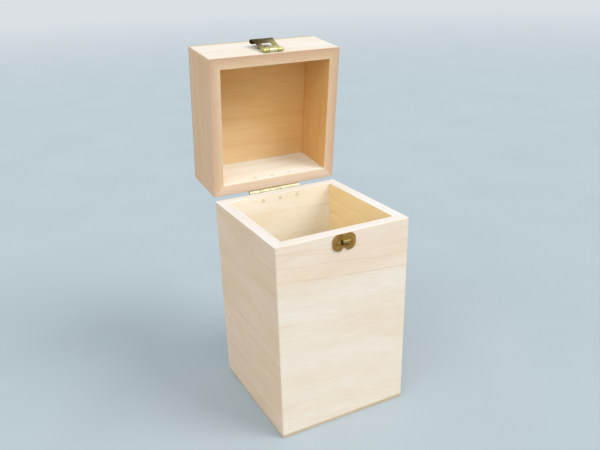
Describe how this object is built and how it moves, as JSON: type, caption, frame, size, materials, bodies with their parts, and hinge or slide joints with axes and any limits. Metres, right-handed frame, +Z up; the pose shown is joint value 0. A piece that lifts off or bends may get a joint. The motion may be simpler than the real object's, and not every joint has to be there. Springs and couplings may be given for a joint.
{
  "type": "wooden box",
  "caption": "Small square wooden box with a deep hinged lid on a stopped strip hinge and a snap hasp in front.",
  "frame": {"origin": "middle of the underside of the base, on the surface that the box stands on", "axes": "+X to the right seen from the front, -Y the front with the keeper and hasp, +Z up; stored with the lid open"},
  "size_m": [0.1, 0.1457, 0.2541],
  "materials": {
    "board": "raw pale softwood, planed and lightly sanded",
    "panel": "raw thin plywood, sanded",
    "brass": "thin pressed sheet, yellow passivated",
    "pin": "drawn wire, yellow passivated"
  },
  "bodies": {
    "box": {"box_base": "panel", "box_front": "board", "box_right": "board", "box_back": "board", "box_left": "board", "hinge_leaf_box": "brass", "hinge_pin": "pin", "hinge_box_nail_1": "brass", "hinge_box_nail_2": "brass", "hinge_box_nail_3": "brass", "keeper": "brass", "keeper_nail_left": "brass", "keeper_nail_right": "brass"},
    "lid": {"lid_top": "panel", "lid_front": "board", "lid_right": "board", "lid_back": "board", "lid_left": "board", "hinge_leaf_lid": "brass", "hinge_lid_nail_1": "brass", "hinge_lid_nail_2": "brass", "hinge_lid_nail_3": "brass", "hasp_plate": "brass", "hasp_nail_left": "brass", "hasp_nail_right": "brass", "hasp_pin": "pin"},
    "hasp": {"hasp_flap": "brass"}
  },
  "joints": [
    {"name": "lid_hinge", "type": "hinge", "parent": "box", "child": "lid", "pos_m": [0, 0.052, 0.145], "axis": [1, 0, 0], "range_deg": [0, 83]},
    {"name": "hasp_swing", "type": "hinge", "parent": "lid", "child": "hasp", "pos_m": [-0.0018, 0.04215, 0.24822], "axis": [1, 0, 0], "range_deg": [0, 166]}
  ]
}
